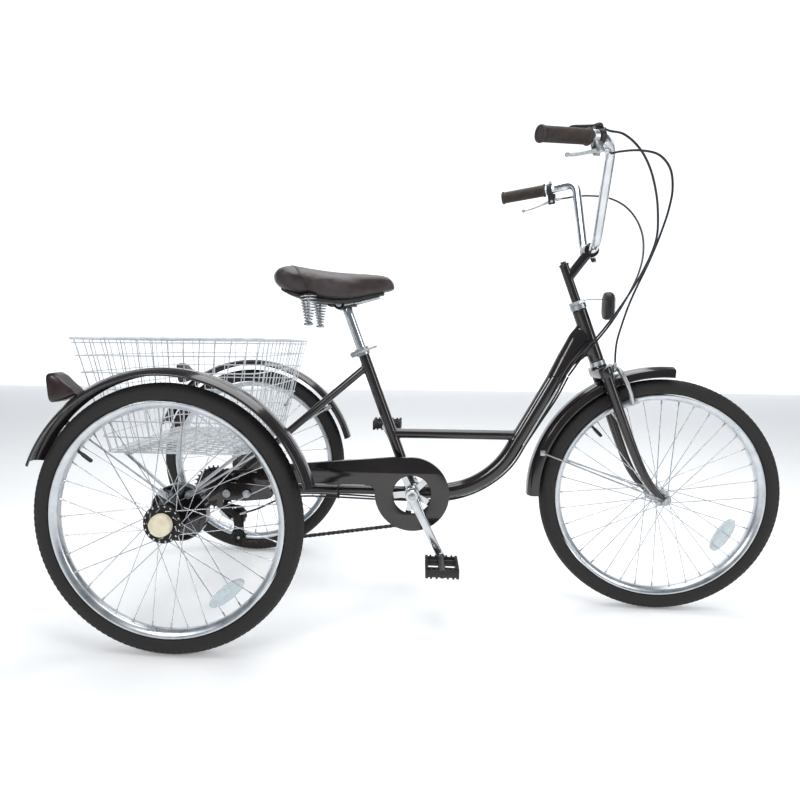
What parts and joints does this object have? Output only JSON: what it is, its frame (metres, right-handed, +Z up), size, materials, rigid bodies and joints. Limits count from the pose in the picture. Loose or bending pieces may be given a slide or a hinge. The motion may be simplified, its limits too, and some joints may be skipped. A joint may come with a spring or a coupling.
{
  "type": "adult tricycle",
  "caption": "Adult tricycle with a low step-through frame, swept-back handlebar, sprung saddle, chain drive to a split rear axle, mudguards and a wire basket between the rear wheels.",
  "frame": {"origin": "on the ground under the middle of the whole tricycle", "axes": "+X forward, +Y to the rider's left, +Z up, with the steering straight ahead"},
  "size_m": [1.7547, 0.71, 1.1548],
  "materials": {
    "frame_paint": "gloss near-black paint",
    "bright_steel": "polished plating",
    "spring_steel": "zinc plated",
    "spoke_steel": "zinc plated",
    "rim_alloy": "satin",
    "crank_alloy": "polished",
    "brake_alloy": "satin",
    "dark_steel": "oiled",
    "tyre_rubber": "moulded tread",
    "grip_rubber": "ribbed, matt",
    "cable_sheath": "smooth sheath",
    "black_plastic": "moulded",
    "red_plastic": "moulded, dark",
    "basket_wire": "white coated wire",
    "saddle_vinyl": "grained vinyl"
  },
  "bodies": {
    "frame": {"head_tube": "frame_paint", "headset": "bright_steel", "down_tube": "frame_paint", "cross_tube": "frame_paint", "seat_tube": "frame_paint", "seat_clamp": "bright_steel", "bb_shell": "frame_paint", "rear_stays": "frame_paint", "dropouts": "frame_paint", "axle_tubes": "frame_paint", "bearing_plates": "frame_paint", "mudguard_right": "frame_paint", "mudguard_left": "frame_paint", "rear_struts": "bright_steel", "basket": "basket_wire", "tail_reflectors": "red_plastic", "chain_guard": "frame_paint", "chain": "dark_steel", "derailleur": "dark_steel", "frame_cables": "cable_sheath"},
    "clamp_lever": {"clamp_lever": "bright_steel"},
    "seat": {"seatpost": "bright_steel", "saddle_frame": "bright_steel", "saddle_springs": "spring_steel", "saddle_cover": "saddle_vinyl"},
    "crankset": {"bb_axle": "bright_steel", "chainring": "crank_alloy", "crank_right": "crank_alloy", "crank_left": "crank_alloy"},
    "pedal_right": {"pedal_right": "black_plastic"},
    "pedal_left": {"pedal_left": "black_plastic"},
    "drive_wheel": {"freewheel": "dark_steel", "axle_right": "dark_steel", "tyre_right": "tyre_rubber", "rim_right": "rim_alloy", "spokes_right": "spoke_steel"},
    "left_wheel": {"axle_left": "dark_steel", "tyre_left": "tyre_rubber", "rim_left": "rim_alloy", "spokes_left": "spoke_steel"},
    "steering": {"fork": "frame_paint", "stem": "frame_paint", "handlebar": "bright_steel", "grip_right": "grip_rubber", "grip_left": "grip_rubber", "brake_mounts": "brake_alloy", "mudguard_front": "frame_paint", "front_reflector": "black_plastic", "steering_cables": "cable_sheath"},
    "front_wheel": {"tyre_front": "tyre_rubber", "rim_front": "rim_alloy", "spokes_front": "spoke_steel", "hub_front": "bright_steel"},
    "brake_lever_right": {"brake_lever_right": "brake_alloy"},
    "brake_lever_left": {"brake_lever_left": "brake_alloy"},
    "shifter_lever": {"shifter_lever": "black_plastic"},
    "front_brake_arm_right": {"front_brake_arm_right": "brake_alloy"},
    "front_brake_arm_left": {"front_brake_arm_left": "brake_alloy"},
    "jockey_upper": {"jockey_upper": "black_plastic"},
    "jockey_lower": {"jockey_lower": "black_plastic"}
  },
  "joints": [
    {"name": "steering_turn", "type": "hinge", "parent": "frame", "child": "steering", "pos_m": [0.54859, 0, 0.28644], "axis": [-0.3502, 0, 0.9367], "range_deg": [-45, 45], "deforming": ["steering_cables"]},
    {"name": "front_wheel_spin", "type": "hinge", "parent": "steering", "child": "front_wheel", "pos_m": [0.5795, 0, 0.298], "axis": [0, 1, 0], "continuous": true},
    {"name": "left_wheel_spin", "type": "hinge", "parent": "frame", "child": "left_wheel", "pos_m": [-0.5705, 0, 0.298], "axis": [0, 1, 0], "continuous": true},
    {"name": "right_wheel_spin", "type": "hinge", "parent": "frame", "child": "drive_wheel", "pos_m": [-0.5705, 0, 0.298], "axis": [0, 1, 0], "continuous": true},
    {"name": "crank_spin", "type": "hinge", "parent": "frame", "child": "crankset", "pos_m": [-0.0485, 0, 0.298], "axis": [0, 1, 0], "continuous": true},
    {"name": "pedal_right_spin", "type": "hinge", "parent": "crankset", "child": "pedal_right", "pos_m": [0.02602, -0.142, 0.14521], "axis": [0, 1, 0], "continuous": true},
    {"name": "pedal_left_spin", "type": "hinge", "parent": "crankset", "child": "pedal_left", "pos_m": [-0.12302, 0.142, 0.4508], "axis": [0, 1, 0], "continuous": true},
    {"name": "jockey_upper_spin", "type": "hinge", "parent": "frame", "child": "jockey_upper", "pos_m": [-0.5085, -0.04, 0.228], "axis": [0, 1, 0], "continuous": true},
    {"name": "jockey_lower_spin", "type": "hinge", "parent": "frame", "child": "jockey_lower", "pos_m": [-0.5045, -0.04, 0.168], "axis": [0, 1, 0], "continuous": true},
    {"name": "seat_height", "type": "slide", "parent": "frame", "child": "seat", "axis": [-0.3453, 0, 0.9385], "range_m": [-0.06, 0.07]},
    {"name": "seat_clamp_turn", "type": "hinge", "parent": "frame", "child": "clamp_lever", "pos_m": [-0.20431, 0, 0.65197], "axis": [0, 1, 0], "range_deg": [0, 110]},
    {"name": "brake_lever_right_pull", "type": "hinge", "parent": "steering", "child": "brake_lever_right", "pos_m": [0.33876, -0.20677, 1.09024], "axis": [-0.3433, 0.8865, -0.3103], "range_deg": [0, 10], "stiffness_Nm_per_rad": 1, "springref_deg": -14.32},
    {"name": "brake_lever_left_pull", "type": "hinge", "parent": "steering", "child": "brake_lever_left", "pos_m": [0.33876, 0.20677, 1.09024], "axis": [0.3433, 0.8865, 0.3103], "range_deg": [0, 10], "stiffness_Nm_per_rad": 1, "springref_deg": -14.32},
    {"name": "shift_lever_turn", "type": "hinge", "parent": "steering", "child": "shifter_lever", "pos_m": [0.33927, -0.18772, 1.14413], "axis": [0.1803, -0.262, -0.9481], "range_deg": [-20, 60]},
    {"name": "front_brake_right_close", "type": "hinge", "parent": "steering", "child": "front_brake_arm_right", "pos_m": [0.45481, 0, 0.61864], "axis": [0.9367, 0, 0.3502], "range_deg": [0, 0.9]},
    {"name": "front_brake_left_close", "type": "hinge", "parent": "steering", "child": "front_brake_arm_left", "pos_m": [0.46006, 0, 0.6206], "axis": [0.9367, 0, 0.3502], "range_deg": [-0.9, 0]}
  ],
  "couplings": [
    {"joint": "crank_spin", "follows": "right_wheel_spin", "ratio": 0.5},
    {"joint": "jockey_upper_spin", "follows": "right_wheel_spin", "ratio": -2},
    {"joint": "jockey_lower_spin", "follows": "right_wheel_spin", "ratio": 2},
    {"joint": "front_brake_right_close", "follows": "brake_lever_right_pull", "ratio": 0.08},
    {"joint": "front_brake_left_close", "follows": "brake_lever_right_pull", "ratio": -0.08}
  ]
}
